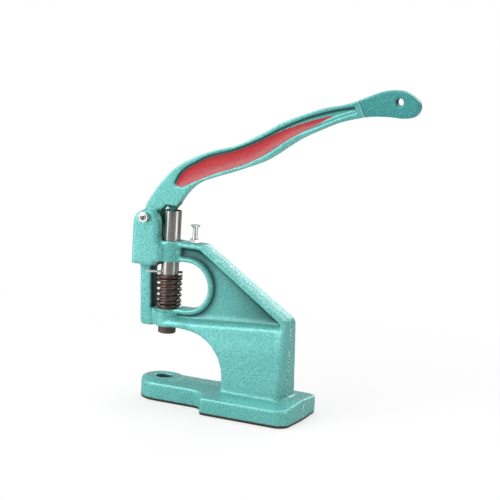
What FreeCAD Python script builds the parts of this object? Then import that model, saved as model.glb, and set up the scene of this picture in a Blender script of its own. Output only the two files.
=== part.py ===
"""Hand press for setting eyelets: a cast frame, a cast lever, a sprung ram and its fastenings.

Millimetres. X runs from the nose of the base to the handle, Y across, Z up. The origin is on
the floor, on the ram's axis, which is also the axis of the die socket in the base.
The frame was moulded in two halves that part on the plane Y = 0, so its walls draw away
from that plane.
"""
import FreeCAD, Part
import math
import os
import Sketcher

V = FreeCAD.Vector
doc = FreeCAD.newDocument("eyelet_press")

# Driving dimensions

SIZES = [
    # Base
    ("base_top", 21.5), ("base_fall", 3.5), ("base_edge_round", 2.2), ("base_foot_bevel", 1.0),
    ("tongue_half", 23.3), ("flare_run", 0.1),
    ("pad_front", 60.0), ("pad_rear", 153.5), ("pad_ridge", 1.7), ("pad_half", 43.0),
    ("pad_front_round", 3.6), ("pad_rear_round", 13.0),
    ("die_boss_radius", 15.0), ("die_boss_rise", 0.9), ("die_boss_round", 1.2),
    ("die_socket_radius", 8.75),
    # Column, web and throat
    ("draft_angle", 6.0), ("column_rear", 136.2), ("column_foot", 21.2), ("column_low", 20.0),
    ("column_low_z", 16.0), ("shoulder_half", 13.2), ("shoulder_z", 82.3),
    ("shoulder_slope", 0.08), ("shoulder_fall", 2.0), ("shoulder_share", 0.65),
    ("web_share", 0.5), ("web_half", 4.0),
    ("throat_x", 25.0), ("throat_rise", 8.5), ("throat_radius", 45.0),
    # Rims
    ("head_top", 163.0), ("bar_thick", 5.8), ("bar_rear", 38.5), ("slope_thick", 6.8),
    ("slope_angle", 33.6), ("rear_round", 8.0), ("rear_thick", 8.0), ("bar_half", 9.4),
    ("corner_half", 13.3), ("window_x", 22.5), ("window_z", 119.0), ("window_radius", 23.5),
    ("window_rim", 6.0), ("window_rim_half", 8.6),
    # Bosses, front wall and ears
    ("upper_boss_radius", 14.0), ("upper_boss_step", 0.5),
    ("lower_boss_radius", 13.0), ("lower_boss_foot", 74.6), ("seat_step", 2.0),
    ("wall_lean", 3.9), ("wall_rise", 75.0), ("wall_front", -28.2), ("wall_rear", -14.2),
    ("wall_foot", 73.0), ("wall_half", 7.5), ("wall_round", 4.0),
    ("ear_front_reach", 15.8), ("ear_rear_reach", 15.2), ("ear_drop", 27.8),
    ("ear_heel", 6.2), ("ear_bevel", 4.8), ("ear_root", 4.3), ("ear_arc_drop", 7.2),
    ("ear_half", 18.5), ("ear_gap_half", 6.5), ("ear_round", 1.6),
    # Lever
    ("pivot_x", -21.5), ("pivot_rise", 23.0), ("lever_gap", 1.2), ("lever_web_half", 2.6),
    ("lever_reach", 273.3), ("grip_half", 4.4), ("hub_radius", 10.0), ("hub_side_gap", 0.3),
    ("toe_rise", 9.6), ("toe_radius", 4.0), ("toe_half", 3.3), ("toe_step", 6.5),
    ("hang_hole_radius", 3.6),
    # Ram, pin and spring
    ("ram_radius", 9.0), ("ram_proud", 7.2), ("ram_rise", 7.1), ("ram_bevel", 0.8),
    ("cup_wall", 1.3), ("rest_gap", 0.3), ("ram_fit", 0.05),
    ("punch_socket_radius", 4.25), ("punch_socket_depth", 22.0),
    ("pin_radius", 1.25), ("pin_drop", 12.0), ("pin_wall_gap", 1.4),
    ("pin_front", 24.0), ("pin_back", 13.0), ("pin_fit", 0.04), ("pin_bevel", 0.3),
    ("spring_gap", 1.4), ("spring_wire", 2.9), ("spring_turns", 6.5),
    ("spring_end_turns", 1.0), ("spring_end_gap", 0.5), ("spring_side_gap", 0.7),
    # Fastenings
    ("bolt_radius", 3.0), ("bolt_fit", 0.05), ("bolt_hole_gap", 0.12),
    ("bolt_flats", 10.0), ("bolt_head_thick", 4.0), ("bolt_proud", 2.2), ("bolt_tip", 1.2),
    ("nut_thick", 5.2), ("thread_gap", 0.03), ("seat_gap", 0.02),
    ("stop_x", 26.0), ("stop_rise", 18.0), ("stop_head_radius", 5.0), ("stop_radius", 2.45),
    ("stop_depth", 13.0), ("stop_cone", 3.0), ("stop_edge", 0.4), ("stop_slot_half", 0.6),
    ("stop_slot_depth", 1.4), ("lock_flats", 9.2), ("lock_thick", 3.8),
]

sheet = doc.addObject("Spreadsheet::Sheet", "Sizes")
for row, (alias, number) in enumerate(SIZES, start=1):
    sheet.set(f"A{row}", alias)
    sheet.set(f"B{row}", str(number))
    sheet.setAlias(f"B{row}", alias)
doc.recompute()
ALIASES = {alias for alias, _ in SIZES}


def size(alias):
    """The number in a cell of the sheet."""
    return float(sheet.get(alias))


def named(formula):
    """The formula with each size's name pointed at its cell of the sheet."""
    whole = ""
    word = ""
    for sign in str(formula) + " ":
        if sign.isalnum() or sign == "_":
            word += sign
            continue
        whole += ("Sizes." + word if word in ALIASES else word) + sign
        word = ""
    return whole.strip()


def value(formula):
    """The number that a formula of the sizes comes to."""
    return float(sheet.evalExpression(named(formula)))


def bind(obj, **formulas):
    """Bind an object's properties to formulas; At_x, At_y and At_z stand for its place."""
    for name, formula in formulas.items():
        obj.setExpression(name.replace("At_", ".Placement.Base."), named(formula))
    return obj


# Outlines

PLANES = {
    "XY": FreeCAD.Rotation(),
    "XZ": FreeCAD.Rotation(V(1, 0, 0), 90),
    "YZ": FreeCAD.Rotation(0.5, 0.5, 0.5, 0.5),
}


class Drawn:
    """A closed outline in a sketch. Each corner is set by two formulas of the sizes."""

    def __init__(self, sketch):
        self.sketch = sketch

    def edge(self, shape):
        return self.sketch.addGeometry(shape, False)

    def rule(self, *terms):
        return self.sketch.addConstraint(Sketcher.Constraint(*terms))

    def measure(self, kind, *terms, formula):
        number = self.rule(kind, *terms, value(formula))
        self.sketch.setExpression(f"Constraints[{number}]", named(formula))

    def place(self, geometry, position, x, y):
        self.measure("DistanceX", geometry, position, formula=x)
        self.measure("DistanceY", geometry, position, formula=y)

    def loop(self, corners):
        """Corners are (x, y), with "round", r for a rounded corner, "arc", r, side for an arc
        to the next corner, or "curve", points for a smooth curve to the next corner."""
        spots = [V(value(c[0]), value(c[1]), 0) for c in corners]
        count = len(corners)
        starts = list(spots)
        ends = list(spots)
        for i, c in enumerate(corners):
            if c[2:3] == ("round",):
                back = (spots[i - 1] - spots[i]).normalize()
                ahead = (spots[(i + 1) % count] - spots[i]).normalize()
                half = back.getAngle(ahead) / 2
                run = value(c[3]) / math.tan(half)
                ends[i] = spots[i] + back * run
                starts[i] = spots[i] + ahead * run
        edges = []
        for i, c in enumerate(corners):
            a = starts[i]
            b = ends[(i + 1) % count]
            if c[2:3] == ("arc",):
                edges.append(self.edge(arc_between(a, b, value(c[3]), c[4])))
            elif c[2:3] == ("curve",):
                curve = Part.BSplineCurve()
                curve.interpolate([a] + [V(x, y, 0) for x, y in c[3]] + [b])
                edges.append(self.edge(curve))
            else:
                edges.append(self.edge(Part.LineSegment(a, b)))
        # An arc that runs clockwise is stored from its far end, so its two ends change names.
        first = [2 if c[2:3] == ("arc",) and c[4] < 0 else 1 for c in corners]
        for i, c in enumerate(corners):
            if c[2:3] == ("curve",):
                self.rule("Block", edges[i])
            if c[2:3] == ("arc",):
                self.measure("Radius", edges[i], formula=c[3])
        for i, c in enumerate(corners):
            before = i - 1 if i else count - 1
            last = 3 - first[before]
            fixed = [corners[k][2:3] == ("curve",) for k in (before, i)]
            if c[2:3] == ("round",):
                self.rounded(spots[i], ends[i], starts[i], edges[before], edges[i], c)
                continue
            if not all(fixed):
                self.rule("Coincident", edges[before], last, edges[i], first[i])
            if not any(fixed):
                self.place(edges[i], first[i], c[0], c[1])

    def rounded(self, spot, start, end, before, after, corner):
        bend = self.edge(corner_arc(spot, start, end))
        turn = (start - spot).cross(end - spot).z
        near, far = (1, 2) if turn < 0 else (2, 1)
        self.rule("Tangent", before, 2, bend, near)
        self.rule("Tangent", bend, far, after, 1)
        self.measure("Radius", bend, formula=corner[3])
        point = self.sketch.addGeometry(Part.Point(spot), True)
        self.rule("PointOnObject", point, 1, before)
        self.rule("PointOnObject", point, 1, after)
        self.place(point, 1, corner[0], corner[1])


def arc_between(a, b, radius, side):
    """The shorter arc from a to b, counter-clockwise for side 1 and clockwise for -1."""
    chord = b - a
    half = chord.Length / 2
    rise = math.sqrt(max(radius ** 2 - half ** 2, 0))
    across = V(-chord.y, chord.x, 0).normalize()
    centre = (a + b) / 2 + across * rise * side
    middle = centre - across * radius * side
    return Part.Arc(a, middle, b) if side > 0 else Part.Arc(b, middle, a)


def corner_arc(spot, start, end):
    """The arc that rounds a corner between its two tangent points."""
    inward = (start + end) / 2 - spot
    run = (start - spot).Length
    half = (start - spot).getAngle(end - spot) / 2
    radius = run * math.tan(half)
    reach = run / math.cos(half) - radius
    middle = spot + inward.normalize() * reach
    turn = (start - spot).cross(end - spot).z
    return Part.Arc(start, middle, end) if turn < 0 else Part.Arc(end, middle, start)


def outline(name, plane, corners, **at):
    """A sketch of one closed outline, on a plane through the origin or moved along it."""
    sketch = doc.addObject("Sketcher::SketchObject", name)
    sketch.Placement = FreeCAD.Placement(V(), PLANES[plane])
    Drawn(sketch).loop(corners)
    bind(sketch, **at)
    doc.recompute()
    return sketch


# Solids

def swept(name, sketch, length, both=False, taper=None, along=None):
    """A sketch pushed out along its normal, or along a line given as (x, y, z)."""
    solid = doc.addObject("Part::Extrusion", name)
    solid.Base = sketch
    solid.DirMode = "Custom"
    solid.Dir = along or sketch.Placement.Rotation.multVec(V(0, 0, 1))
    solid.Solid = True
    solid.Symmetric = both
    bind(solid, LengthFwd=length)
    if taper:
        bind(solid, TaperAngle=taper)
    return solid


def rod(name, radius, height, z="0", x="0", y="0", turn=None):
    """A cylinder, upright unless it is turned to lie along Y."""
    solid = doc.addObject("Part::Cylinder", name)
    if turn:
        solid.Placement = FreeCAD.Placement(V(), turn)
    return bind(solid, Radius=radius, Height=height, At_x=x, At_y=y, At_z=z)


def box(name, low, high):
    solid = doc.addObject("Part::Box", name)
    spans = [f"({b}) - ({a})" for a, b in zip(low, high)]
    return bind(solid, Length=spans[0], Width=spans[1], Height=spans[2],
                At_x=low[0], At_y=low[1], At_z=low[2])


def joined(name, *solids):
    whole = doc.addObject("Part::MultiFuse", name)
    whole.Shapes = list(solids)
    return whole


def shared(name, *solids):
    whole = doc.addObject("Part::MultiCommon", name)
    whole.Shapes = list(solids)
    return whole


def less(name, solid, *tools):
    tool = tools[0] if len(tools) == 1 else joined(name + "_tools", *tools)
    whole = doc.addObject("Part::Cut", name)
    whole.Base = solid
    whole.Tool = tool
    return whole


def softened(name, solid, radius, pick, kind="Part::Fillet"):
    """The solid with each edge that pick chooses rounded or bevelled."""
    doc.recompute()
    whole = doc.addObject(kind, name)
    whole.Base = solid
    chosen = [i for i, e in enumerate(solid.Shape.Edges, start=1) if pick(e)]
    whole.Edges = [(i, size(radius), size(radius)) for i in chosen]
    doc.recompute()
    return whole


def turned(name, corners):
    """A body turned about Z from half its section, given as (radius, height) corners."""
    body = doc.addObject("PartDesign::Body", name)
    sketch = body.newObject("Sketcher::SketchObject", name + "_section")
    plane = [f for f in body.Origin.OriginFeatures if f.Role == "XZ_Plane"][0]
    sketch.AttachmentSupport = (plane, [""])
    sketch.MapMode = "FlatFace"
    Drawn(sketch).loop(corners)
    doc.recompute()
    whole = body.newObject("PartDesign::Revolution", name + "_turned")
    whole.Profile = sketch
    whole.ReferenceAxis = (sketch, ["V_Axis"])
    whole.Angle = 360
    doc.recompute()
    return body


def span(edge):
    return edge.BoundBox


def level(edge, z):
    return abs(span(edge).ZMin - z) < SLACK and abs(span(edge).ZMax - z) < SLACK


LIE_Y = FreeCAD.Rotation(V(1, 0, 0), -90)
SLACK = 0.01
PAST = "5"  # how far a cut, or a shape that is trimmed or joined, runs past what it meets

# Places that follow from the sizes

flare_radius = "(pad_half - tongue_half - pad_front_round - flare_run)"
tongue_end = f"(pad_front - {flare_radius})"
die_boss_top = "(base_top + die_boss_rise)"
throat_z = "(base_top + throat_rise)"
rim_line = "(head_top - (column_rear - bar_rear) * tan(slope_angle))"
shelf = "(shoulder_half - web_half)"
window_top = "(window_z + window_radius)"
window_foot = "(window_z - window_radius)"
window_end = "(window_x + window_radius)"
upper_boss_foot = f"({window_top} - upper_boss_step)"
seat_z = f"({window_foot} - seat_step)"
pivot_z = "(head_top + pivot_rise)"
ear_front = "(pivot_x - ear_front_reach)"
ear_rear = "(pivot_x + ear_rear_reach)"
ear_foot = "(head_top - ear_drop)"
lever_half = "(ear_gap_half - lever_gap)"
hub_half = "(ear_gap_half - hub_side_gap)"
toe_foot = f"({pivot_z} + toe_rise - toe_radius)"
ram_bottom = "(lower_boss_foot - ram_proud)"
ram_top = f"({pivot_z} + ram_rise)"
cup_radius = "(ram_radius - cup_wall)"
cup_floor = f"({toe_foot} - rest_gap)"
pin_z = f"({upper_boss_foot} - pin_drop)"
spring_radius = "(ram_radius + spring_gap + spring_wire / 2)"
stop_foot = "(head_top - stop_depth)"
stop_top = "(head_top + stop_rise)"

# Base plate: a narrow tongue that flares into a wide pad, with a low ridged roof

base_plan = outline("base_plan", "XY", [
    (tongue_end, "-tongue_half", "arc", flare_radius, -1),
    ("pad_front", f"-tongue_half - {flare_radius}"),
    ("pad_front", "-pad_half", "round", "pad_front_round"),
    ("pad_rear", "-pad_half", "round", "pad_rear_round"),
    ("pad_rear + pad_ridge", "0"),
    ("pad_rear", "pad_half", "round", "pad_rear_round"),
    ("pad_front", "pad_half", "round", "pad_front_round"),
    ("pad_front", f"tongue_half + {flare_radius}", "arc", flare_radius, -1),
    (tongue_end, "tongue_half"),
    ("0", "tongue_half", "arc", "tongue_half", 1),
    ("-tongue_half", "0", "arc", "tongue_half", 1),
    ("0", "-tongue_half"),
])
base_slab = swept("base_slab", base_plan, f"base_top + {PAST}")
roof_half = f"(pad_half + {PAST})"
roof_eaves = f"(base_top - base_fall * {roof_half} / pad_half)"
roof_line = outline("roof_line", "YZ", [
    (f"-{roof_half}", f"-{PAST}"), (roof_half, f"-{PAST}"), (roof_half, roof_eaves),
    ("0", "base_top"), (f"-{roof_half}", roof_eaves),
], At_x=f"-tongue_half - {PAST}")
roof_block = swept("roof_block", roof_line, f"pad_rear + pad_ridge + tongue_half + 2 * {PAST}")
base_block = shared("base_block", base_slab, roof_block)


def on_roof_rim(edge):
    on_ridge = max(abs(span(edge).YMin), abs(span(edge).YMax)) < SLACK
    return span(edge).ZMin > size("base_top") / 2 and not on_ridge


base_soft = softened("base_soft", base_block, "base_edge_round", on_roof_rim)
base_plate = softened("base_plate", base_soft, "base_foot_bevel", lambda e: level(e, 0),
                      "Part::Chamfer")
die_boss_rod = rod("die_boss_rod", "die_boss_radius", f"{die_boss_top} - {PAST}", z=PAST)
die_boss = softened("die_boss", die_boss_rod, "die_boss_round",
                    lambda e: level(e, value(die_boss_top)))

# Column, throat and web: the side outline shared with the leaning front outline

side_outline = outline("side_outline", "XZ", [
    ("0", f"{throat_z} + throat_radius"),
    ("throat_x", f"{throat_z} + throat_radius", "arc", "throat_radius", -1),
    ("throat_x + throat_radius", throat_z),
    ("throat_x + throat_radius", PAST),
    ("column_rear", PAST),
    ("column_rear", rim_line, "round", "rear_round"),
    ("bar_rear", "head_top"),
    ("0", "head_top"),
])
side_block = swept("side_block", side_outline, "2 * column_foot + 2", both=True,
                   taper="-draft_angle")
front_half = [
    ("column_foot", f"-2 * {PAST}"), ("column_low", "column_low_z"),
    ("shoulder_half", "shoulder_z", "round", f"shoulder_share * {shelf}"),
    ("web_half", "shoulder_z + shoulder_fall", "round", f"web_share * {shelf}"),
    ("web_half", f"head_top + {PAST}"),
]
front_outline = outline("front_outline", "YZ", [
    (f"-({c[0]})", *c[1:]) for c in front_half
][::-1] + front_half, At_x=f"-{PAST}", At_z=f"-{PAST} * shoulder_slope")
front_block = swept("front_block", front_outline, f"column_rear + 5 * {PAST}",
                    along=V(1, 0, size("shoulder_slope")))
column = shared("column", side_block, front_block)

# Rims round the web: the top bar and slope, and the ring round the window

inner = "(head_top - slope_thick / cos(slope_angle) - ({x} - bar_rear) * tan(slope_angle))"
bar_under = "(head_top - bar_thick)"
bend_x = f"(bar_rear + (bar_thick - slope_thick / cos(slope_angle)) / tan(slope_angle))"
rim_side = outline("rim_side", "XZ", [
    ("0", "head_top"), ("0", bar_under), (bend_x, bar_under),
    ("column_rear - rear_thick", inner.format(x="column_rear - rear_thick")),
    ("column_rear - rear_thick", f"shoulder_z - {PAST}"), ("column_rear", f"shoulder_z - {PAST}"),
    ("column_rear", rim_line, "round", "rear_round"), ("bar_rear", "head_top"),
])
rim_band = swept("rim_band", rim_side, "2 * corner_half + 2", both=True, taper="-draft_angle")
rim_plan = outline("rim_plan", "XY", [
    (f"-{PAST}", "-bar_half"), ("bar_rear", "-bar_half"), ("column_rear + 1", "-corner_half"),
    ("column_rear + 1", "corner_half"), ("bar_rear", "bar_half"), (f"-{PAST}", "bar_half"),
], At_z=f"shoulder_z - 2 * {PAST}")
rim_limit = swept("rim_limit", rim_plan, f"head_top - shoulder_z + 3 * {PAST}")
top_rim = shared("top_rim", rim_band, rim_limit)

window_side = outline("window_side", "XZ", [
    ("0", window_top), ("window_x", window_top, "arc", "window_radius", -1),
    (window_end, "window_z", "arc", "window_radius", -1), ("window_x", window_foot),
    ("0", window_foot),
])
window = swept("window", window_side, "2 * column_foot + 2", both=True, taper="draft_angle")
rim_radius = "window_radius + window_rim"
ring_side = outline("ring_side", "XZ", [
    ("0", f"{window_top} + window_rim"),
    ("window_x", f"{window_top} + window_rim", "arc", rim_radius, -1),
    (f"{window_end} + window_rim", "window_z", "arc", rim_radius, -1),
    ("window_x", f"{window_foot} - window_rim"), ("0", f"{window_foot} - window_rim"),
])
ring_rim = swept("ring_rim", ring_side, "2 * window_rim_half", both=True, taper="-draft_angle")
body_and_rims = less("body_and_rims", joined("rims", column, top_rim, ring_rim), window)

# Head: two bosses on the ram's axis, the front wall between them and the ears above

upper_boss = rod("upper_boss", "upper_boss_radius", f"head_top - {upper_boss_foot}",
                 z=upper_boss_foot)
lower_boss = rod("lower_boss", "lower_boss_radius", f"{seat_z} - lower_boss_foot",
                 z="lower_boss_foot")
wall_side = outline("wall_side", "XZ", [
    ("wall_front", "wall_foot", "round", "wall_round"), ("wall_rear", "wall_foot"),
    ("wall_rear - wall_lean", "wall_foot + wall_rise"),
    ("wall_front - wall_lean", "wall_foot + wall_rise"),
])
front_wall = swept("front_wall", wall_side, "2 * wall_half", both=True, taper="-draft_angle")
neck = box("neck", ("wall_rear - 3", "-wall_half + 1", "lower_boss_foot"),
           ("0", "wall_half - 1", f"{seat_z} - 2.5"))
ear_arc_z = f"({pivot_z} - ear_arc_drop)"
ear_radius = "(ear_front_reach + ear_rear_reach) / 2"
ear_side = outline("ear_side", "XZ", [
    (ear_front, ear_foot), (f"{ear_rear} - ear_heel", ear_foot),
    (f"{ear_rear} - ear_heel + ear_bevel", f"{ear_foot} + ear_bevel"),
    (f"{ear_rear} + ear_root", f"{ear_foot} + ear_bevel"),
    (f"{ear_rear} + ear_root", f"head_top - {PAST}"), (ear_rear, "head_top"),
    (ear_rear, ear_arc_z, "arc", ear_radius, 1),
    (f"({ear_front} + {ear_rear}) / 2", f"{ear_arc_z} + {ear_radius}", "arc", ear_radius, 1),
    (ear_front, ear_arc_z),
])
ear_block = swept("ear_block", ear_side, "2 * ear_half", both=True, taper="-draft_angle")


def on_ear_face(edge):
    return span(edge).YLength < SLACK and abs(abs(span(edge).YMin) - size("ear_half")) < SLACK


ears = softened("ears", ear_block, "ear_round", on_ear_face)

casting = joined("casting", base_plate, die_boss, body_and_rims, upper_boss, lower_boss,
                 front_wall, neck, ears)
cuts = [
    rod("die_bore", "die_socket_radius", f"{die_boss_top} + 2 * {PAST}", z=f"-{PAST}"),
    rod("ram_bore", "ram_radius + ram_fit", f"{ram_top} - {ram_bottom}", z=ram_bottom),
    rod("spring_seat", f"{spring_radius} + spring_wire / 2 + spring_side_gap",
        f"{upper_boss_foot} - {seat_z}", z=seat_z),
    box("ear_gap", (f"{ear_front} - {PAST}", "-ear_gap_half", "head_top"),
        ("upper_boss_radius", "ear_gap_half", f"{pivot_z} + ear_front_reach")),
    rod("pivot_bore", "bolt_radius + bolt_hole_gap", f"2 * (ear_half + {PAST})", z=pivot_z,
        x="pivot_x", y=f"-ear_half - {PAST}", turn=LIE_Y),
    rod("stop_bore", "stop_radius + thread_gap", f"stop_depth + {PAST}",
        z=f"{stop_foot} - stop_edge", x="stop_x"),
]
frame = less("frame_casting", casting, *cuts)

# Lever: its side is drawn at one length, measured from the pivot, and grows with the reach

LEVER_TOP = [
    (-6.7, 10.8), (-1.5, 19.8), (5.5, 30.5), (11.8, 38.1), (18.5, 46), (24.9, 51.7),
    (37.8, 60), (50.7, 66.3), (63.5, 71.6), (83.5, 77.5), (97, 83), (109.5, 90.1),
    (121.8, 97.2), (134, 105.1), (146.5, 111), (164.5, 118.6), (182.5, 125), (200.5, 129.4),
    (212.5, 134.2), (227.1, 140.9), (235.1, 144.2), (243.3, 146.2), (250, 146.9),
    (256.5, 146.3), (262.5, 144.4), (267.4, 141.6), (271, 138.4), (272.7, 135.6),
]
LEVER_UNDER = [
    (272.7, 129.4), (271.3, 126.4), (269, 124), (265.6, 122.2), (260.8, 121.1), (254.1, 120.8),
    (247.2, 121), (239, 120.9), (231.3, 120.4), (222.5, 119.2), (211.5, 116.6),
    (193.7, 111.2), (175.9, 102.9), (157.9, 93.5), (140, 81.1), (127.9, 72.1), (115.5, 65),
    (103.1, 59.7), (84, 51.8), (71.5, 47.3), (57.8, 42), (49.6, 38), (40.9, 30.9),
    (34.9, 23.8), (30.3, 16.4),
]
RECESS_TOP = [
    (25.3, 41.4), (29.2, 47.6), (35.2, 53.4), (42.8, 58), (59.7, 67.4), (85.6, 75.9),
    (110.8, 87.3), (135.7, 100.8), (160.2, 111.3), (184.6, 119.3),
]
RECESS_UNDER = [
    (198.5, 121.4), (187.9, 117.3), (173, 107.9), (155, 97.4), (136.6, 84.6),
    (112.2, 67.9), (89.5, 57.1), (71.3, 50.1), (57.7, 44.2), (46.1, 38.5), (37.1, 33.7),
    (29.4, 31.6), (24.3, 33.9),
]
GRIP = [(203.6, 148.4), (224.4, 110), (300, 110), (300, 160)]
DRAWN_REACH = 273.3
growth = size("lever_reach") / DRAWN_REACH


def drawn(x, y):
    """A corner of the lever as formulas that grow with its reach."""
    return (f"lever_reach * {x / DRAWN_REACH:.6f}", f"lever_reach * {y / DRAWN_REACH:.6f}")


def curve_points(points):
    return [(x * growth, y * growth) for x, y in points]


at_pivot = {"At_x": "pivot_x", "At_z": pivot_z}
lever_side = outline("lever_side", "XZ", [
    (*drawn(-7.8, 6), "curve", curve_points(LEVER_TOP)), drawn(273.3, 133.2),
    (*drawn(273.3, 131.9), "curve", curve_points(LEVER_UNDER)),
    ("-pivot_x + 0.883 * toe_radius", "toe_rise - 0.4694 * toe_radius",
     "arc", "toe_radius", -1),
    ("-pivot_x - 0.975 * toe_radius", "toe_rise + 0.2222 * toe_radius"),
    ("-pivot_x - 1.05 * toe_radius", "toe_rise + 0.425 * toe_radius"),
    ("1.17 * hub_radius", "0.88 * hub_radius"), ("0.92 * hub_radius", "0.39 * hub_radius"),
    ("0", "0"),
], **at_pivot)
lever_slab = swept("lever_slab", lever_side, f"2 * {lever_half}", both=True)
recess_side = outline("recess_side", "XZ", [
    (*drawn(23.1, 36.1), "curve", curve_points(RECESS_TOP)), drawn(208.6, 126.8),
    (*drawn(208.9, 125.2), "curve", curve_points(RECESS_UNDER)),
], **at_pivot)
recess = swept("recess", recess_side, f"4 * {lever_half}", both=True)
lever_web = swept("lever_web", recess_side, "2 * lever_web_half", both=True)
grip_side = outline("grip_side", "XZ", [drawn(x, y) for x, y in GRIP], **at_pivot)
grip_zone = swept("grip_zone", grip_side, f"4 * {lever_half}", both=True)
grip_core = swept("grip_core", grip_side, "2 * grip_half", both=True)
grip_sides = less("grip_sides", grip_zone, grip_core)
toe_cuts = [
    box(f"toe_cut_{side}", ("-toe_radius - 3.5", low, f"{toe_foot} - toe_radius"),
        ("toe_radius + 5", high, f"{toe_foot} + toe_step"))
    for side, low, high in (("near", f"-{lever_half} - 1", "-toe_half"),
                            ("far", "toe_half", f"{lever_half} + 1"))
]
lever_cut = less("lever_cut", lever_slab, recess, grip_sides, *toe_cuts)
lever_hub = rod("lever_hub", "hub_radius", f"2 * {hub_half}", z=pivot_z, x="pivot_x",
                y=f"-{hub_half}", turn=LIE_Y)
lever_whole = joined("lever_whole", lever_cut, lever_web, lever_hub)
hole_x, hole_z = drawn(253.4, 136.1)
lever = less(
    "lever_handle", lever_whole,
    rod("hub_bore", "bolt_radius + bolt_fit", "4 * ear_half", z=pivot_z, x="pivot_x",
        y="-2 * ear_half", turn=LIE_Y),
    rod("hang_hole", "hang_hole_radius", f"4 * {lever_half}", z=f"{pivot_z} + {hole_z}",
        x=f"pivot_x + {hole_x}", y=f"-2 * {lever_half}", turn=LIE_Y),
)

# Ram with a shallow cup on top for the lever's toe, and a socket for the setting punch

socket_end = f"{ram_bottom} + punch_socket_depth"
ram_body = turned("ram_body", [
    ("0", socket_end), ("punch_socket_radius", socket_end),
    ("punch_socket_radius", ram_bottom), ("ram_radius - ram_bevel", ram_bottom),
    ("ram_radius", f"{ram_bottom} + ram_bevel"), ("ram_radius", ram_top),
    (cup_radius, ram_top), (cup_radius, cup_floor), ("0", cup_floor),
])

# The guide pin passes just beside the front wall, so its turn follows the wall's corner

wall_reach = f"(wall_lean * ({pin_z} - wall_foot) / wall_rise - wall_rear + wall_half * tan(draft_angle))"
pin_turn = f"(atan(wall_half / {wall_reach}) + asin((pin_radius + pin_wall_gap) / " \
           f"sqrt(wall_half ^ 2 + {wall_reach} ^ 2)))"
pin_angle = math.radians(value(pin_turn))
pin_way = FreeCAD.Rotation(V(0, 0, 1), V(-math.cos(pin_angle), -math.sin(pin_angle), 0))
pin_start = {"x": f"pin_back * cos({pin_turn})", "y": f"pin_back * sin({pin_turn})", "z": pin_z}
pin_length = "(pin_back + pin_front)"
pin_hole = rod("pin_hole", "pin_radius + pin_fit", pin_length, turn=pin_way, **pin_start)
ram = less("ram", ram_body, pin_hole)

guide_pin = turned("guide_pin", [
    ("0", "0"), ("pin_radius - pin_bevel", "0"), ("pin_radius", "pin_bevel"),
    ("pin_radius", f"{pin_length} - pin_bevel"), ("pin_radius - pin_bevel", pin_length),
    ("0", pin_length),
])
guide_pin.Placement = FreeCAD.Placement(V(), pin_way)
bind(guide_pin, **{"At_" + axis: formula for axis, formula in pin_start.items()})

# Return spring between the seat and the guide pin: round wire on a helix whose pitch
# widens from the closed end turns to the open ones

wire_r = size("spring_wire") / 2
coil_r = value(spring_radius)
low_z = value(seat_z) + size("rest_gap") + wire_r
high_z = value(pin_z) - size("pin_radius") - size("rest_gap") - wire_r
first_angle = math.radians(200)
turns = size("spring_turns")
end_turns = size("spring_end_turns")
end_pitch = size("spring_wire") + size("spring_end_gap")
blend = 0.5
open_pitch = (high_z - low_z - end_pitch * (2 * end_turns + blend)) / (
    turns - 2 * end_turns - blend)


def climb(t):
    """Height gained after t turns from either end, up to the middle of the coil."""
    if t <= end_turns:
        return end_pitch * t
    run = min(t - end_turns, blend)
    ramp = end_pitch * run + (open_pitch - end_pitch) * run ** 2 / (2 * blend)
    return end_pitch * end_turns + ramp + open_pitch * max(t - end_turns - blend, 0)


def slope_at(t):
    share = min(max((min(t, turns - t) - end_turns) / blend, 0), 1)
    return end_pitch + (open_pitch - end_pitch) * share


def coil_point(t):
    z = low_z + climb(t) if t <= turns / 2 else high_z - climb(turns - t)
    angle = 2 * math.pi * t + first_angle
    return V(coil_r * math.cos(angle), coil_r * math.sin(angle), z)


def coil_heading(t):
    angle = 2 * math.pi * t + first_angle
    around = 2 * math.pi * coil_r
    return V(-around * math.sin(angle), around * math.cos(angle), slope_at(t)).normalize()


def bend(start, leaving, end):
    """The arc that leaves a point along a heading and arrives at another point."""
    chord = (end - start) / 2
    reach = chord.Length / leaving.dot(chord) * chord.Length
    corner = start + leaving * reach
    centre = start + chord
    rise = (corner - centre).Length
    angle = math.atan2(rise, chord.Length)
    middle = centre + (corner - centre) / rise * chord.Length * math.tan(angle / 2)
    return Part.Arc(start, middle, end).toShape()


def two_arcs(p0, t0, p1, t1):
    """Two arcs that meet smoothly between two points with given headings."""
    gap = p1 - p0
    both = t0 + t1
    dot = gap.dot(both)
    rest = 2 * (1 - t0.dot(t1))
    reach = (-dot + math.sqrt(dot ** 2 + 2 * rest * gap.dot(gap))) / (2 * rest)
    reach = reach if rest else gap.dot(gap) / (2 * dot)
    first = p0 + t0 * reach
    second = p1 - t1 * reach
    meet = (first + second) / 2
    return [bend(p0, t0, meet), bend(meet, (second - first).normalize(), p1)]


steps = int(round(turns * 4))
arcs = []
for i in range(steps):
    a = turns * i / steps
    b = turns * (i + 1) / steps
    arcs += two_arcs(coil_point(a), coil_heading(a), coil_point(b), coil_heading(b))
path = Part.Wire(arcs)
ring = Part.Wire(Part.Circle(coil_point(0), coil_heading(0), wire_r).toShape())
return_spring = doc.addObject("Part::Feature", "return_spring")
return_spring.Shape = path.makePipeShell([ring], True, False)
print(f"least gap between coils {min(end_pitch, open_pitch) - 2 * wire_r:.2f} mm")

# Pivot bolt, its nut, the stop screw and its lock nut


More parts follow.
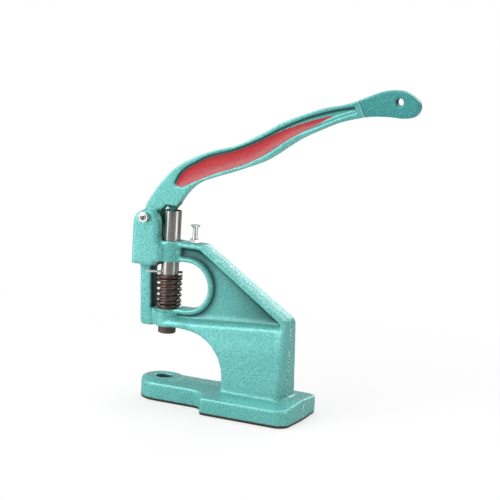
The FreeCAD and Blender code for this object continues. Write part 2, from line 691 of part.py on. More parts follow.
def hexagon(name, flats, thick, bore, turn=None, **at):
    """A hexagonal head or nut with bevelled corners."""
    prism = doc.addObject("Part::Prism", name + "_prism")
    prism.Polygon = 6
    bind(prism, Circumradius=f"{flats} / 2 / cos(30)", Height=thick)
    inner_corner = [(bore, "0"), (bore, thick)] if bore != "0" else [("0", "0"), ("0", thick)]
    crown = turned(name + "_crown", [
        inner_corner[0], (f"{flats} * 0.49", "0"), (f"{flats} * 0.58", f"{flats} * 0.05"),
        (f"{flats} * 0.58", f"{thick} - {flats} * 0.05"), (f"{flats} * 0.49", thick),
        inner_corner[1],
    ])
    for piece in (prism, crown):
        if turn:
            piece.Placement = FreeCAD.Placement(V(), turn)
        bind(piece, **at)
    return shared(name, prism, crown)


bolt_span = "(2 * ear_half + 2 * seat_gap + nut_thick + bolt_proud)"
bolt_foot = {"At_x": "pivot_x", "At_z": pivot_z,
             "At_y": "-ear_half - seat_gap - nut_thick - bolt_proud"}
bolt_shank = turned("bolt_shank", [
    ("0", "0"), ("bolt_radius * 0.55", "bolt_tip * 0.12"), ("bolt_radius * 0.92", "bolt_tip * 0.6"),
    ("bolt_radius", "bolt_tip"), ("bolt_radius", bolt_span + " + bolt_head_thick / 2"),
    ("0", bolt_span + " + bolt_head_thick / 2"),
])
bolt_shank.Placement = FreeCAD.Placement(V(), LIE_Y)
bind(bolt_shank, **bolt_foot)
bolt_head = hexagon("bolt_head", "bolt_flats", "bolt_head_thick", "0", LIE_Y,
                    At_x="pivot_x", At_y="ear_half + seat_gap", At_z=pivot_z)
pivot_bolt = joined("pivot_bolt", bolt_shank, bolt_head)
pivot_nut = hexagon("pivot_nut", "bolt_flats", "nut_thick", "bolt_radius + thread_gap", LIE_Y,
                    At_x="pivot_x", At_y="-ear_half - seat_gap - nut_thick", At_z=pivot_z)
stop_body = turned("stop_body", [
    ("0", stop_foot), ("stop_radius - stop_edge", stop_foot),
    ("stop_radius", f"{stop_foot} + stop_edge"), ("stop_radius", f"{stop_top} - stop_cone"),
    ("stop_head_radius", f"{stop_top} - stop_edge"), ("stop_head_radius", f"{stop_top} - 0.2"),
    ("stop_head_radius - 0.3", stop_top), ("0", stop_top),
])
bind(stop_body, At_x="stop_x")
stop_slot = box("stop_slot", ("stop_x - stop_head_radius - 1", "-stop_slot_half",
                              f"{stop_top} - stop_slot_depth"),
                ("stop_x + stop_head_radius + 1", "stop_slot_half", f"{stop_top} + 1"))
stop_screw = less("stop_screw", stop_body, stop_slot)
lock_nut = hexagon("stop_lock_nut", "lock_flats", "lock_thick", "stop_radius + thread_gap",
                   At_x="stop_x", At_z="head_top + seat_gap")

# Check and write each piece

PIECES = {
    "frame_casting": frame, "lever_handle": lever, "ram": ram, "guide_pin": guide_pin,
    "return_spring": return_spring, "pivot_bolt": pivot_bolt, "pivot_nut": pivot_nut,
    "stop_screw": stop_screw, "stop_lock_nut": lock_nut,
}
doc.recompute()
for obj in doc.Objects:
    if "Invalid" in obj.State or "Error" in obj.State:
        raise RuntimeError(f"{obj.Name} did not build: {obj.State}")
os.makedirs("parts", exist_ok=True)
for node, obj in PIECES.items():
    obj.Label = node
    shape = obj.Shape
    if shape.isNull() or not shape.isValid() or len(shape.Solids) != 1:
        raise RuntimeError(f"{node} is not one sound solid")
    shape.exportStep(f"parts/{node}.step")
    print(f"{node}: {shape.Volume / 1000:.2f} cm3, {len(shape.Faces)} faces")
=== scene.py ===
import math

import bmesh
import bpy
import numpy as np
from bpy.props import FloatProperty, FloatVectorProperty, IntProperty, PointerProperty
from mathutils import Matrix, Vector


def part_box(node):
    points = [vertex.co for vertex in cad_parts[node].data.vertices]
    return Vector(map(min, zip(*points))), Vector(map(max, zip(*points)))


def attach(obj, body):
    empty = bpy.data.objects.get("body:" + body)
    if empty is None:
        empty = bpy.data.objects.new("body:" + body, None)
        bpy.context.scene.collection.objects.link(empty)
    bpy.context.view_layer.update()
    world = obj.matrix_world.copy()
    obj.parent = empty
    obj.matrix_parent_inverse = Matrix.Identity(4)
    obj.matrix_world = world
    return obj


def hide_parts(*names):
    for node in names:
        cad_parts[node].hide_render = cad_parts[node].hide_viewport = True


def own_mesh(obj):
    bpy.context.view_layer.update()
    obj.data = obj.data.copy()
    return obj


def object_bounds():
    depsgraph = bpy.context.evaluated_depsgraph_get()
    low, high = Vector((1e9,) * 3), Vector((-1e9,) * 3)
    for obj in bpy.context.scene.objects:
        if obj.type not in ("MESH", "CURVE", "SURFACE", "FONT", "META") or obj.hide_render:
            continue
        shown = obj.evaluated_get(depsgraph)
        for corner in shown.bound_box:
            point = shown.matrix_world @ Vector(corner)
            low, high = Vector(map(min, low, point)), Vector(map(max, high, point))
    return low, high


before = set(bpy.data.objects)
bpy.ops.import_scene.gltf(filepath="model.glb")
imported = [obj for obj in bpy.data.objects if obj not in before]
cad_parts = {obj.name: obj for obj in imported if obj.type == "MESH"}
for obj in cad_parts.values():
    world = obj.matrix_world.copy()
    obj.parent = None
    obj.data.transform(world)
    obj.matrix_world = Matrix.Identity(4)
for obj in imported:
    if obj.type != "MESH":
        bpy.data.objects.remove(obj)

bl_info = {
    "name": "Eyelet Press",
    "version": (1, 0, 0),
    "blender": (4, 5, 0),
    "location": "View3D > Sidebar > Eyelet Press",
    "description": "Dresses a hand press for setting eyelets in cast, painted and plated finishes",
    "category": "Object",
}

CAD_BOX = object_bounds()
PIVOT = Vector((-0.0215, 0.0, 0.186))
LEVER_FACE = 0.0053

# Points of a CAD mesh that lie closer than this are one point.
MERGED = 2e-6

# Machined bores on the Z axis: radius, and the lowest and highest point drawn true.
BORES = [(0.00875, 0.0015, 0.0205), (0.00906, 0.0765, 0.0915), (0.00906, 0.1440, 0.1610)]
BORE_REACH = 0.0009

# Threads: radius of the ridge's path, pitch and turns, and where they start.
STOP_THREAD_RADIUS = 0.00236
STOP_HEAD_HEIGHT = 0.0032
BOLT_THREAD_RADIUS = 0.00282
BOLT_PITCH = 0.0010
BOLT_TURNS = 1.5
BOLT_TIP = 0.0011

# Share of metal flakes in the hammered paint.
FLAKE = 0.25

# Lines of the frame's side, in millimetres. The shoulder climbs with X, the rim falls.
SHOULDER = 82.3
WEB_FLOOR = 84.0
SHOULDER_SLOPE = 0.08
HEAD_TOP = 163.0
BAR_REAR = 38.5
RIM_SLOPE = 0.6644
WINDOW = (22.5, 119.0)
RING_RADIUS = 29.0

# The hole in the grip, and the parting mark across the lever with its way, in millimetres.
HANG_HOLE = (231.9, 322.1)
PARTING = (195.2, 310.2)
PARTING_WAY = (0.885, 0.465)

CAMERA_TARGET = Vector((0.086987, 0.0, 0.163312))
FLOOR_GAP = 0.00005

# The lever's recess, in millimetres from the pivot: upper edge outwards, lower edge back.
RECESS_TOP = [
    (23.1, 36.1), (25.3, 41.4), (29.2, 47.6), (35.2, 53.4), (42.8, 58), (59.7, 67.4),
    (85.6, 75.9), (110.8, 87.5), (135.7, 102.0), (160.2, 113.7), (184.6, 122.4),
    (209.5, 128.6),
]
RECESS_UNDER = [
    (211.5, 122.5), (204.5, 120.0), (195.5, 116.2), (185.5, 111.8), (175.7, 106.9),
    (155.7, 97.2), (136.6, 84.6), (112.2, 67.9), (89.5, 57.1), (71.3, 50.1),
    (57.7, 44.2), (46.1, 38.5), (37.1, 33.7), (29.4, 31.6), (24.3, 33.9),
]


# Sizes and colours a user may change

def colour(name, text, value):
    return FloatVectorProperty(name=name, description=text, default=value, size=3,
                               subtype="COLOR", min=0.0, max=1.0)


def length(name, text, value, low=0.0, high=0.1):
    return FloatProperty(name=name, description=text, default=value, min=low, max=high,
                         subtype="DISTANCE", unit="LENGTH", precision=5)


def angle(name, text, degrees):
    return FloatProperty(name=name, description=text, default=math.radians(degrees),
                         subtype="ANGLE", unit="ROTATION")


def power(name, text, watts):
    return FloatProperty(name=name, description=text, default=watts, min=0.0, unit="POWER")


def strength(name, text, value, high):
    return FloatProperty(name=name, description=text, default=value, min=0.0, max=high)


class PressPaintSettings(bpy.types.PropertyGroup):
    teal: colour("Teal", "Colour of the hammered paint", (0.085, 0.435, 0.405))
    # The dark teal that hollows are mixed towards: painted shade.
    hollow_shade: colour("Pooled teal", "Paint that has pooled in the hollows", (0.012, 0.125, 0.118))
    # A lighter teal, used for the mottle and on convex edges.
    thin: colour("Thin teal", "Paint drawn thin and bright over the edges", (0.22, 0.62, 0.58))
    # Tint for the teal towards the grip: painted shade where the light falls off, with a step past
    # the parting line.
    grip: colour("Grip tint", "How much deeper the paint is at the grip", (0.37, 0.64, 0.67))
    red: colour("Red", "Paint brushed into the lever's recess", (0.50, 0.012, 0.025))
    # Paler red low in the channel: painted light where its floor climbs to the lower rim.
    lit_red: colour("Worn red", "Red paint rubbed pale low in the recess", (0.41, 0.075, 0.08))
    # Dark colour of the band along the foot: painted shade of the gap under the base's edge.
    foot_shade: colour("Bare iron", "Iron along the foot, where the paint stops", (0.045, 0.036, 0.03))


class PressCastingSettings(bpy.types.PropertyGroup):
    frame_voxel: length("Frame grid", "Grid that the frame's skin is cast on", 0.00112)
    lever_voxel: length("Lever grid", "Grid that the lever's skin is cast on", 0.00085)
    edge_rounds: IntProperty(name="Edge rounding", description="Passes that soften every edge",
                             default=5, min=1, max=40)
    corner_rounds: IntProperty(name="Corner filling", description="Passes that fill inner corners",
                               default=14, min=0, max=80)
    recess_depth: length("Recess depth", "Depth of the channel in the lever's side", 0.0027)
    recess_wall: length("Recess wall", "Width over which the channel's upper wall falls", 0.0016)
    recess_rise: length("Recess rise", "Width over which its floor climbs to the lower rim", 0.0038)
    shoulder_draw: length("Shoulder", "How far the column's shoulder is drawn in", 0.0014)
    casting_wave: length("Casting wave", "Unevenness of the cast surface", 0.00005)


class PressSteelSettings(bpy.types.PropertyGroup):
    steel: colour("Ground steel", "Colour of the ram", (0.54, 0.515, 0.49))
    # Oil brown of the ram's lower end; also painted shade on the ram and the pin's back end, and a
    # painted reflection on the bolt's tip.
    brown_for_oil_and_shade: colour("Stained steel", "Oil brown at the ram's lower end", (0.10, 0.055, 0.042))
    spring: colour("Spring steel", "Oil-brown spring wire", (0.135, 0.07, 0.055))
    zinc: colour("Zinc", "Bright zinc plate", (0.80, 0.81, 0.82))
    thread_pitch: length("Thread pitch", "Pitch of the stop screw's thread", 0.0008)
    thread_ridge: length("Thread ridge", "Half the width of a thread's ridge", 0.00014)


class PressStageSettings(bpy.types.PropertyGroup):
    azimuth: angle("Azimuth", "Camera's turn round the press", 23.764)
    elevation: angle("Elevation", "Camera's height angle", 9.675)
    roll: angle("Roll", "Camera's tilt about its own line of sight", 3.5095)
    distance: length("Distance", "Camera's distance from its target", 1.5711, 0.1, 10.0)
    lens: FloatProperty(name="Lens", description="Focal length in millimetres", default=114.54,
                        min=10.0, max=400.0)
    key: power("Key light", "Power of the key softbox", 4.6)
    top: power("Top light", "Power of the softbox above", 11.5)
    sky: strength("Room", "Strength of the even light", 0.335, 4.0)
    left: strength("Left panel", "Strength of the wide panel at the left", 0.88, 8.0)
    side: power("Side boxes", "Power of the two low boxes at the sides", 0.42)
    back: strength("Back panel", "Strength of the panel high behind", 2.4, 8.0)


# Shader maths

class Wire:
    """A value in a shader tree. Its operators add Math nodes."""

    def __init__(self, shader, socket):
        self.shader = shader
        self.socket = socket

    def maths(self, operation, *values):
        node = self.shader.node("ShaderNodeMath", {"operation": operation},
                                dict(enumerate(values)))
        return Wire(self.shader, node.outputs[0])

    def __add__(self, other):
        return self.maths("ADD", self, other)

    __radd__ = __add__

    def __sub__(self, other):
        return self.maths("SUBTRACT", self, other)

    def __rsub__(self, other):
        return self.maths("SUBTRACT", other, self)

    def __mul__(self, other):
        return self.maths("MULTIPLY", self, other)

    __rmul__ = __mul__

    def __truediv__(self, other):
        return self.maths("DIVIDE", self, other)

    def __pow__(self, other):
        return self.maths("POWER", self, other)

    def __abs__(self):
        return self.maths("ABSOLUTE", self)

    def most(self, other):
        return self.maths("MAXIMUM", self, other)

    def between(self, low, high):
        """0 at low and under, 1 at high and over, and smooth in between."""
        node = self.shader.node("ShaderNodeMapRange", {"interpolation_type": "SMOOTHSTEP"},
                                {"Value": self, "From Min": low, "From Max": high})
        return Wire(self.shader, node.outputs[0])


class Shader:
    """A material, or the world, whose nodes are added one call at a time."""

    def __init__(self, name, world=False):
        self.material = (bpy.data.worlds if world else bpy.data.materials).new(name)
        self.material.use_nodes = True
        self.tree = self.material.node_tree
        self.tree.nodes.clear()
        self.output = self.tree.nodes.new(
            "ShaderNodeOutputWorld" if world else "ShaderNodeOutputMaterial")

    def node(self, kind, settings=None, sockets=None):
        node = self.tree.nodes.new(kind)
        for key, value in (settings or {}).items():
            setattr(node, key, value)
        for key, value in (sockets or {}).items():
            if isinstance(value, Wire):
                self.tree.links.new(value.socket, node.inputs[key])
            else:
                node.inputs[key].default_value = value
        return node

    def wire(self, kind, settings=None, sockets=None, output=0):
        return Wire(self, self.node(kind, settings, sockets).outputs[output])

    def place(self):
        return self.wire("ShaderNodeTexCoord", output="Object")

    def axes(self, place):
        node = self.node("ShaderNodeSeparateXYZ", None, {0: place})
        return [Wire(self, socket) for socket in node.outputs]

    def stretched(self, place, scale):
        return self.wire("ShaderNodeMapping", None, {"Vector": place, "Scale": scale})

    def noise(self, place, scale, detail, rough=0.5):
        return self.wire("ShaderNodeTexNoise", None,
                         {"Vector": place, "Scale": scale, "Detail": detail,
                          "Roughness": rough})

    def cells(self, place, scale):
        return self.wire("ShaderNodeTexVoronoi", {"feature": "SMOOTH_F1"},
                         {"Vector": place, "Scale": scale, "Smoothness": 0.6})

    def attribute(self, name):
        return self.wire("ShaderNodeAttribute", {"attribute_name": name}, output="Fac")

    def mix(self, share, first, second):
        return self.wire("ShaderNodeMix", {"data_type": "RGBA"},
                         {0: share, 6: solid(first), 7: solid(second)}, output=2)

    def tint(self, share, shade, by):
        return self.wire("ShaderNodeMix", {"data_type": "RGBA", "blend_type": "MULTIPLY"},
                         {0: share, 6: solid(shade), 7: solid(by)}, output=2)

    def bump(self, height, distance, share):
        return self.wire("ShaderNodeBump", None,
                         {"Height": height, "Distance": distance, "Strength": share})

    def surface(self, sockets):
        shell = self.node("ShaderNodeBsdfPrincipled", None, sockets)
        self.tree.links.new(shell.outputs[0], self.output.inputs["Surface"])
        return self.material


def solid(value):
    """A wire as it is, or a colour with its alpha."""
    if isinstance(value, Wire):
        return value
    return (*value[:3], 1.0)


# Finishes

def hammered_paint(name, paint, recess=False):
    """Gloss hammered paint over rough cast iron, painted shade in hollows, lighter on convex edges.
    """
    s = Shader(name)
    place = s.place()
    x, y, z = s.axes(place)
    grain = s.noise(place, 700.0, 3.0, 0.6)
    dimple = s.cells(place, 640.0)
    broad = s.noise(place, 34.0, 2.0)
    hollow = s.attribute("hollow")
    painted_shade = s.attribute("painted_shade")
    mottle = (grain - 0.5) * 2.2 + 0.5
    shade = s.mix((mottle * 0.6 + dimple * 0.4).between(0.05, 0.95), paint.teal, paint.thin)
    shade = s.tint((1 - mottle).between(0.55, 1.1) * 0.5, shade, (0.45, 0.62, 0.64))
    shade = s.tint(broad.between(0.35, 0.75) * 0.3, shade, (0.72, 0.84, 0.86))
    # Painted shade in hollow corners, deeper where the surface is also shaded.
    hollow_shade = (hollow + (grain - 0.5) * 0.5).between(0.2, 1.0) * (0.25 + painted_shade * 0.6)
    shade = s.mix(hollow_shade, shade, paint.hollow_shade)
    # Painted shade on the web, between the ears, behind the spring and inside holes.
    shade = s.tint(painted_shade, shade, (0.09, 0.18, 0.185))
    # Lighter teal on convex edges, where the surface curls outwards.
    drawn = (0.0 - hollow + (grain - 0.5) * 0.4).between(0.3, 1.1) * 0.28
    shade = s.mix(drawn, shade, paint.thin)
    seam = (1 - abs(y).between(0.0006, 0.0014)) * x.between(0.035, 0.045)
    dashes = s.noise(s.stretched(place, (1.0, 0.2, 1.0)), 520.0, 1.0).between(0.47, 0.56)
    # Light dashes along the parting seam: painted glints on its ridge; darker between them.
    shade = s.mix(seam * dashes, shade, (0.72, 0.92, 0.91))
    shade = s.tint(seam * (1 - dashes) * 0.6, shade, (0.30, 0.42, 0.42))
    rough = 0.27 + (grain - 0.5) * 0.3 + painted_shade * 0.25
    if recess:
        shade, metal, rough = lever_colours(s, paint, shade, rough)
    else:
        # Painted shade along the foot, where the base's edge turns under; rougher there and without
        # flakes.
        foot = 1 - (z + (grain - 0.5) * 0.0012).between(0.0026, 0.0038)
        shade = s.mix(foot, shade, paint.foot_shade)
        rough = rough + foot * 0.4
        metal = FLAKE * (1 - foot)
    relief = grain * 0.7 + dimple * 0.7 + seam * (dashes + 1.0)
    return s.surface({
        "Base Color": shade, "Metallic": metal, "Roughness": rough,
        "Coat Weight": 0.22, "Coat Roughness": 0.14, "Specular IOR Level": 0.4,
        "Normal": s.bump(relief, 0.00022, 0.9),
    })


def lever_colours(s, paint, shade, rough):
    """Red brushed into the channel, painted shade on the wall above it, and deeper teal at the
    grip.
    """
    x, _, z = [axis * 1000.0 for axis in s.axes(s.place())]
    under_rim = s.attribute("under_rim") * 1000.0
    over_rim = s.attribute("over_rim") * 1000.0
    ragged = (s.noise(s.place(), 260.0, 2.0) - 0.5) * 1.1
    end = (x + ragged * 4.0).between(164.0, 167.0)
    red_from = 2.7 + x.between(88.0, 158.0) * 2.6
    red_to = 0.5 + x.between(134.0, 170.0) * 3.3
    brushed = (under_rim + ragged - red_from).between(-0.2, 0.2)
    brushed = brushed * (over_rim + ragged * 0.4 - red_to).between(-0.2, 0.2) * (1 - end)
    channel = under_rim.between(0.05, 0.6) * over_rim.between(0.05, 0.5)
    # Painted shade on the channel's upper wall and in the crease above the lower rim.
    wall = channel * (1 - under_rim.between(2.0, 3.8))
    crease = channel * (1 - over_rim.between(0.5, 1.4)) * x.between(135.0, 150.0)
    shade = s.tint(wall.most(crease * 0.5) * 0.95, shade, (0.07, 0.18, 0.18))
    low = under_rim / (under_rim + over_rim + 0.01)
    streak = s.noise(s.stretched(s.place(), (0.25, 1.0, 1.0)), 340.0, 3.0)
    # Paler red low in the channel, broken by streaks: painted light on the floor climbing to the
    # rim.
    red = s.mix((low + (streak - 0.5) * 0.7).between(0.42, 0.95) * 0.8, paint.red, paint.lit_red)
    # Painted shade on the red high in the channel, under its upper wall.
    red = s.tint((1 - low).between(0.62, 0.9) * 0.6, red, (0.5, 0.35, 0.35))
    across = (x - PARTING[0]) * PARTING_WAY[0] + (z - PARTING[1]) * PARTING_WAY[1]
    # Teal darker towards the grip: painted shade of the light falling off, and a further step past
    # the parting line.
    deeper = x.between(100.0, 190.0) * 0.5 + across.between(-0.4, 0.4) * 0.5
    shade = s.tint(deeper, shade, paint.grip)
    # Painted highlight: a light line along the parting ridge across the lever.
    ridge_highlight = 1 - abs(across).between(0.25, 0.75)
    shade = s.mix(ridge_highlight * 0.8, shade, (0.40, 0.72, 0.70))
    shade = s.mix(brushed, shade, red)
    return shade, FLAKE * (1 - brushed), rough + brushed * 0.12


def ground_steel(name, steel):
    """Turned bar with drawn streaks, oil-brown at its lower end, painted shade in its cup and
    inside the spring.
    """
    s = Shader(name)
    place = s.place()
    x, y, z = s.axes(place)
    streak = s.noise(s.stretched(place, (1.0, 1.0, 0.03)), 700.0, 3.0, 0.65)
    rings = s.noise(s.stretched(place, (0.02, 0.02, 1.0)), 2600.0, 1.0)
    cloud = s.noise(place, 90.0, 3.0)
    low = 1 - (z + (cloud - 0.5) * 0.014).between(0.074, 0.092)
    # Painted shade on the ram inside the spring and in its top cup; only the lower end's brown is
    # oil.
    coiled = z.between(0.092, 0.096) * (1 - z.between(0.124, 0.131))
    cup = (1 - ((x * x + y * y) ** 0.5).between(0.0074, 0.0078)) * z.between(0.1880, 0.1885)
    stain_and_shade = low.most(coiled * 0.8).most(cup)
    dull = tuple(channel * 0.45 for channel in steel.steel)
    shade = s.mix(streak.between(0.28, 0.60), dull, steel.steel)
    shade = s.mix(cloud.between(0.52, 0.75) * 0.4, shade, dull)
    shade = s.mix(stain_and_shade * 0.9, shade, steel.brown_for_oil_and_shade)
    return s.surface({
        "Base Color": shade, "Metallic": 1.0 - stain_and_shade * 0.35,
        "Roughness": 0.20 + streak * 0.10 + stain_and_shade * 0.16,
        "Normal": s.bump(streak * 0.6 + rings * 0.4, 0.00003, 0.6),
    })


def spring_steel(name, steel):
    """Oil-tempered wire, brown, with a painted highlight on the coils' outside."""
    s = Shader(name)
    place = s.place()
    x, y, _ = s.axes(place)
    cloud = s.noise(place, 300.0, 3.0)
    out = ((x * x + y * y) ** 0.5).between(0.0124, 0.0134)
    dark = tuple(channel * 0.35 for channel in steel.spring)
    bright = tuple(min(channel * 1.6, 1.0) for channel in steel.spring)
    shade = s.mix(cloud.between(0.35, 0.7), dark, steel.spring)
    # Painted highlight on the outer face of the coils.
    shade = s.mix(out * 0.4, shade, bright)
    return s.surface({
        "Base Color": shade, "Metallic": 0.9, "Roughness": 0.17 + cloud * 0.14,
        "Coat Weight": 0.5, "Coat Roughness": 0.15,
        "Normal": s.bump(cloud, 0.00004, 0.5),
    })


def zinc_plate(name, steel, painted_dark_end=None, metal=1.0):
    """Bright zinc plate with faint dulled clouds, and painted brown past a plane when one is given.
    """
    s = Shader(name)
    place = s.place()
    cloud = s.noise(place, 500.0, 3.0)
    fine = s.noise(place, 2400.0, 2.0)
    dull = tuple(channel * 0.62 for channel in steel.zinc)
    shade = s.mix(cloud.between(0.42, 0.72) * 0.6, steel.zinc, dull)
    if painted_dark_end:
        axis, low, high = painted_dark_end
        shade = s.mix(s.axes(place)[axis].between(low, high) * 0.85, shade, steel.brown_for_oil_and_shade)
    return s.surface({
        "Base Color": shade, "Metallic": metal, "Roughness": 0.16 + cloud * 0.2,
        "Normal": s.bump(fine, 0.00002, 0.4),
    })


# Mesh work

def mesh_copy(node):
    """A merged copy of a CAD node's mesh."""
    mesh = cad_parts[node].data.copy()
    work = bmesh.new()
    work.from_mesh(mesh)
    bmesh.ops.remove_doubles(work, verts=work.verts, dist=MERGED)
    work.to_mesh(mesh)
    work.free()
    return mesh


def new_piece(name, mesh, body, material=None):
    piece = bpy.data.objects.new(name, mesh)
    bpy.context.scene.collection.objects.link(piece)
    if material:
        mesh.materials.clear()
        mesh.materials.append(material)
    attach(piece, body)
    return piece


def recast(node, voxel):
    """A node's mesh laid again on an even grid, as loose vertices, faces and edges."""
    mesh = mesh_copy(node)
    piece = bpy.data.objects.new(node + "_recast", mesh)
    bpy.context.scene.collection.objects.link(piece)
    grid = piece.modifiers.new("grid", "REMESH")
    grid.mode = "VOXEL"
    grid.voxel_size = voxel
    grid.adaptivity = 0.0
    view = bpy.context.evaluated_depsgraph_get()
    laid = bpy.data.meshes.new_from_object(piece.evaluated_get(view))
    piece.modifiers.clear()
    bpy.data.objects.remove(piece)
    return laid


class Skin:
    """The points of a mesh and how they join, for smoothing and measuring."""

    def __init__(self, mesh):
        self.mesh = mesh
        count = len(mesh.vertices)
        self.points = np.empty(count * 3)
        mesh.vertices.foreach_get("co", self.points)
        self.points = self.points.reshape(-1, 3)
        pairs = np.empty(len(mesh.edges) * 2, dtype=np.int64)
        mesh.edges.foreach_get("vertices", pairs)
        pairs = pairs.reshape(-1, 2)
        self.ends = np.concatenate([pairs[:, 0], pairs[:, 1]])
        self.others = np.concatenate([pairs[:, 1], pairs[:, 0]])
        self.degree = np.maximum(np.bincount(self.ends, minlength=count), 1)

    def around(self, values):
        """The mean of each point's neighbours."""
        if values.ndim == 1:
            sums = np.bincount(self.ends, weights=values[self.others],
                               minlength=len(values))
            return sums / self.degree
        return np.stack([self.around(values[:, k]) for k in range(values.shape[1])], axis=1)

    def soften(self, rounds, share):
        for _ in range(rounds):
            step = self.around(self.points) - self.points
            self.points += step * (share if np.isscalar(share) else share[:, None])

    def write(self):
        self.mesh.vertices.foreach_set("co", self.points.ravel())
        self.mesh.update()

    def normals(self):
        self.write()
        found = np.empty(len(self.points) * 3)
        self.mesh.vertex_normals.foreach_get("vector", found)
        return found.reshape(-1, 3)

    def curl(self, rounds, scale):
        """How hollow the surface is at each point: about 1 in a corner, -1 on an edge."""
        moved = self.points.copy()
        for _ in range(rounds):
            moved = self.around(moved)
        rise = ((moved - self.points) * self.normals()).sum(axis=1)
        return np.clip(rise / scale, -1.5, 1.5)

    def push(self, amounts):
        """Moves each point along its normal."""
        self.points += self.normals() * amounts[:, None]

    def millimetres(self):
        """The X, Y and Z of the points in millimetres."""
        return (self.points * 1000.0).T

    def store(self, name, values):
        layer = self.mesh.attributes.new(name, "FLOAT", "POINT")
        layer.data.foreach_set("value", np.ascontiguousarray(values, dtype=np.float32))


def smooth_shade(mesh):
    mesh.polygons.foreach_set("use_smooth", np.ones(len(mesh.polygons), dtype=bool))
    mesh.update()


def even_curve(points, steps=10):
    """A smooth line through points, sampled evenly in each span."""
    ends = [points[0]] + list(points) + [points[-1]]
    found = []
    for a, b, c, d in zip(ends, ends[1:], ends[2:], ends[3:]):
        for k in range(steps):
            found.append([along(k / steps, a[i], b[i], c[i], d[i]) for i in range(2)])
    found.append(list(points[-1]))
    return found


def along(t, a, b, c, d):
    """The value at share t of the span from b to c, between neighbours a and d."""
    return 0.5 * (2 * b + (c - a) * t + (2 * a - 5 * b + 4 * c - d) * t * t
                  + (3 * b - a - 3 * c + d) * t ** 3)


def inside_distance(points, outline):
    """Distance of each point from a closed outline, positive inside it."""
    starts = np.array(outline)
    spans = np.roll(starts, -1, axis=0) - starts
    lengths = np.maximum((spans ** 2).sum(axis=1), 1e-12)
    best = np.full(len(points), 1e9)
    crossed = np.zeros(len(points), dtype=bool)
    for (ax, ay), (dx, dy), size in zip(starts, spans, lengths):
        px = points[:, 0] - ax
        py = points[:, 1] - ay
        t = np.clip((px * dx + py * dy) / size, 0.0, 1.0)
        best = np.minimum(best, np.hypot(px - t * dx, py - t * dy))
        if dy:
            share = py / dy
            hit = (share >= 0) & (share < 1) & (px < share * dx)
            crossed ^= hit
    return np.where(crossed, best, -best)


def line_distance(points, line):
    """Distance of each point from an open line of points."""
    best = np.full(len(points), 1e9)
    for (ax, ay), (bx, by) in zip(line, line[1:]):
        dx, dy = bx - ax, by - ay
        px = points[:, 0] - ax
        py = points[:, 1] - ay
        t = np.clip((px * dx + py * dy) / max(dx * dx + dy * dy, 1e-12), 0.0, 1.0)
        best = np.minimum(best, np.hypot(px - t * dx, py - t * dy))
    return best


def waves(points, length, seed, count=14):
    """Gentle random waves of about one length over space, from -1 to 1."""
    chance = np.random.default_rng(seed)
    total = np.zeros(len(points))
    for _ in range(count):
        way = chance.normal(size=3)
        way *= 2 * math.pi / length / np.linalg.norm(way) * chance.uniform(0.7, 1.5)
        total += np.sin(points @ way + chance.uniform(0, 2 * math.pi))
    return total / count ** 0.5 / 1.4


def eased(values, low, high):
    """0 at low, 1 at high and smooth in between."""
    share = np.clip((values - low) / (high - low), 0.0, 1.0)
    return share * share * (3 - 2 * share)


def true_bore(skin, radius, low, high):
    """Draws the points of a machined bore on the Z axis back to its radius."""
    x, y, z = skin.points.T
    away = np.hypot(x, y)
    near = (np.abs(away - radius) < BORE_REACH) & (z > low) & (z < high)
    share = radius / np.maximum(away[near], 1e-9)
    skin.points[near, 0] *= share
    skin.points[near, 1] *= share


# Threads

def thread_tree():
    """A node tree that winds a ridge round the Z axis."""
    tree = bpy.data.node_groups.new("thread_ridge", "GeometryNodeTree")
    face = tree.interface
    face.new_socket("Geometry", in_out="OUTPUT", socket_type="NodeSocketGeometry")
    for name in ("Radius", "Pitch", "Turns", "Ridge", "Start"):
        face.new_socket(name, in_out="INPUT", socket_type="NodeSocketFloat")
    face.new_socket("Finish", in_out="INPUT", socket_type="NodeSocketMaterial")
    nodes = tree.nodes
    link = tree.links.new
    given = nodes.new("NodeGroupInput")
    made = nodes.new("NodeGroupOutput")
    rise = nodes.new("ShaderNodeMath")
    rise.operation = "MULTIPLY"
    link(given.outputs["Pitch"], rise.inputs[0])
    link(given.outputs["Turns"], rise.inputs[1])
    coil = nodes.new("GeometryNodeCurveSpiral")
    coil.inputs["Resolution"].default_value = 28
    link(given.outputs["Turns"], coil.inputs["Rotations"])
    link(given.outputs["Radius"], coil.inputs["Start Radius"])
    link(given.outputs["Radius"], coil.inputs["End Radius"])
    link(rise.outputs[0], coil.inputs["Height"])
    lift = nodes.new("ShaderNodeCombineXYZ")
    link(given.outputs["Start"], lift.inputs["Z"])
    moved = nodes.new("GeometryNodeTransform")
    link(coil.outputs[0], moved.inputs["Geometry"])
    link(lift.outputs[0], moved.inputs["Translation"])
    section = nodes.new("GeometryNodeCurvePrimitiveCircle")
    section.inputs["Resolution"].default_value = 6
    link(given.outputs["Ridge"], section.inputs["Radius"])
    sweep = nodes.new("GeometryNodeCurveToMesh")
    sweep.inputs["Fill Caps"].default_value = True
    link(moved.outputs[0], sweep.inputs["Curve"])
    link(section.outputs[0], sweep.inputs["Profile Curve"])
    real = nodes.new("GeometryNodeRealizeInstances")
    link(sweep.outputs[0], real.inputs[0])
    finish = nodes.new("GeometryNodeSetMaterial")
    link(real.outputs[0], finish.inputs["Geometry"])
    link(given.outputs["Finish"], finish.inputs["Material"])
    link(finish.outputs[0], made.inputs[0])
    return tree


